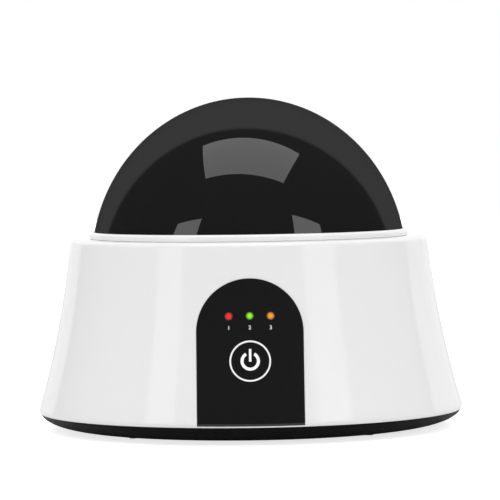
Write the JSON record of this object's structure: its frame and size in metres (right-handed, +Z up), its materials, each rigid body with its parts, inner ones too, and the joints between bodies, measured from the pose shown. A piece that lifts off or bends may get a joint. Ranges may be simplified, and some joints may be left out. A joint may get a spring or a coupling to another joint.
{
  "type": "gel polish remover machine",
  "caption": "Table-top steamer for softening gel nail polish: flared housing, smoked dome that hinges open, press key and lamps in front, bowl and heater inside.",
  "frame": {"origin": "on the table under the middle of the housing", "axes": "+Z up, -Y is the side with the control panel, +Y is the side with the hand opening and the power inlet, +X to the right"},
  "size_m": [0.22, 0.2203, 0.1714],
  "materials": {
    "white_abs": "glossy injection moulded white ABS",
    "panel_black": "piano black acrylic",
    "dome_smoke": "polished smoked polycarbonate, nearly black",
    "base_black": "fine-textured black ABS",
    "mark_white": "white printed or moulded mark",
    "lamp_red": "red lamp lens, lit",
    "lamp_green": "green lamp lens, lit",
    "lamp_amber": "amber lamp lens, lit",
    "led_epoxy": "moulded epoxy",
    "board_green": "fibreglass board with solder mask",
    "component_black": "moulded black nylon and epoxy",
    "nylon_natural": "natural nylon",
    "terminal_green": "green polyamide",
    "relay_blue": "blue moulded polyester",
    "copper_coil": "enamelled copper winding on a core",
    "tub_white": "satin white polypropylene",
    "silicone_grey": "soft grey silicone",
    "silicone_black": "black silicone",
    "silicone_red": "iron oxide silicone",
    "rubber_black": "black rubber",
    "cast_aluminium": "machined aluminium",
    "stainless": "drawn stainless steel",
    "zinc_steel": "zinc plated steel",
    "mica": "mica and ceramic fibre",
    "brass_tin": "nickel plated brass",
    "glass_clear": "clear glass tube",
    "wire_silicone": "silicone wire sleeve",
    "wire_pvc": "PVC wire sleeve",
    "ribbon_grey": "flat grey PVC ribbon"
  },
  "bodies": {
    "housing": {"housing_shell": "white_abs", "base_pan": "base_black", "rubber_foot_front_left": "rubber_black", "rubber_foot_front_right": "rubber_black", "rubber_foot_rear_left": "rubber_black", "rubber_foot_rear_right": "rubber_black", "base_screws": "zinc_steel", "front_panel": "panel_black", "key_ring": "mark_white", "lamp_lens_red": "lamp_red", "lamp_lens_green": "lamp_green", "lamp_lens_amber": "lamp_amber", "indicator_lamps": "led_epoxy", "control_board": "board_green", "tact_switch": "component_black", "control_board_screws": "zinc_steel", "control_connector": "nylon_natural", "chamber_tub": "tub_white", "palm_rest": "silicone_grey", "finger_rest": "tub_white", "heater_plate": "cast_aluminium", "heater_seal": "silicone_red", "heating_element": "mica", "insulation_disc": "mica", "heater_clamp": "zinc_steel", "heater_screws": "zinc_steel", "thermostat": "component_black", "thermal_fuse": "brass_tin", "power_board": "board_green", "power_board_screws": "zinc_steel", "transformer": "copper_coil", "relay": "relay_blue", "capacitor": "component_black", "mains_fuse": "glass_clear", "mains_terminal": "terminal_green", "heater_terminal": "terminal_green", "ribbon_socket": "nylon_natural", "power_inlet": "component_black", "inlet_pins": "brass_tin", "mains_leads": "wire_pvc", "heater_leads": "wire_silicone", "control_ribbon": "ribbon_grey", "hinge_pin": "zinc_steel"},
    "lid": {"lid_ring": "white_abs", "dome_cover": "dome_smoke", "opening_trim": "silicone_black", "lid_seal": "silicone_black"},
    "key": {"power_key": "panel_black", "switch_plunger": "component_black"},
    "bowl": {"steam_bowl": "stainless"},
    "grille": {"bowl_grille": "stainless"}
  },
  "joints": [
    {"name": "lid_hinge", "type": "hinge", "parent": "housing", "child": "lid", "pos_m": [0, 0.0856, 0.1024], "axis": [-1, 0, 0], "range_deg": [0, 80]},
    {"name": "key_press", "type": "slide", "parent": "housing", "child": "key", "axis": [0, 0.9748, -0.2232], "range_m": [0, 0.0006], "stiffness_N_per_m": 400, "springref_m": -0.002},
    {"name": "bowl_lift", "type": "slide", "parent": "housing", "child": "bowl", "axis": [0, 0, 1], "range_m": [0, 0.02]},
    {"name": "grille_lift", "type": "slide", "parent": "bowl", "child": "grille", "axis": [0, 0, 1], "range_m": [0, 0.015]}
  ]
}
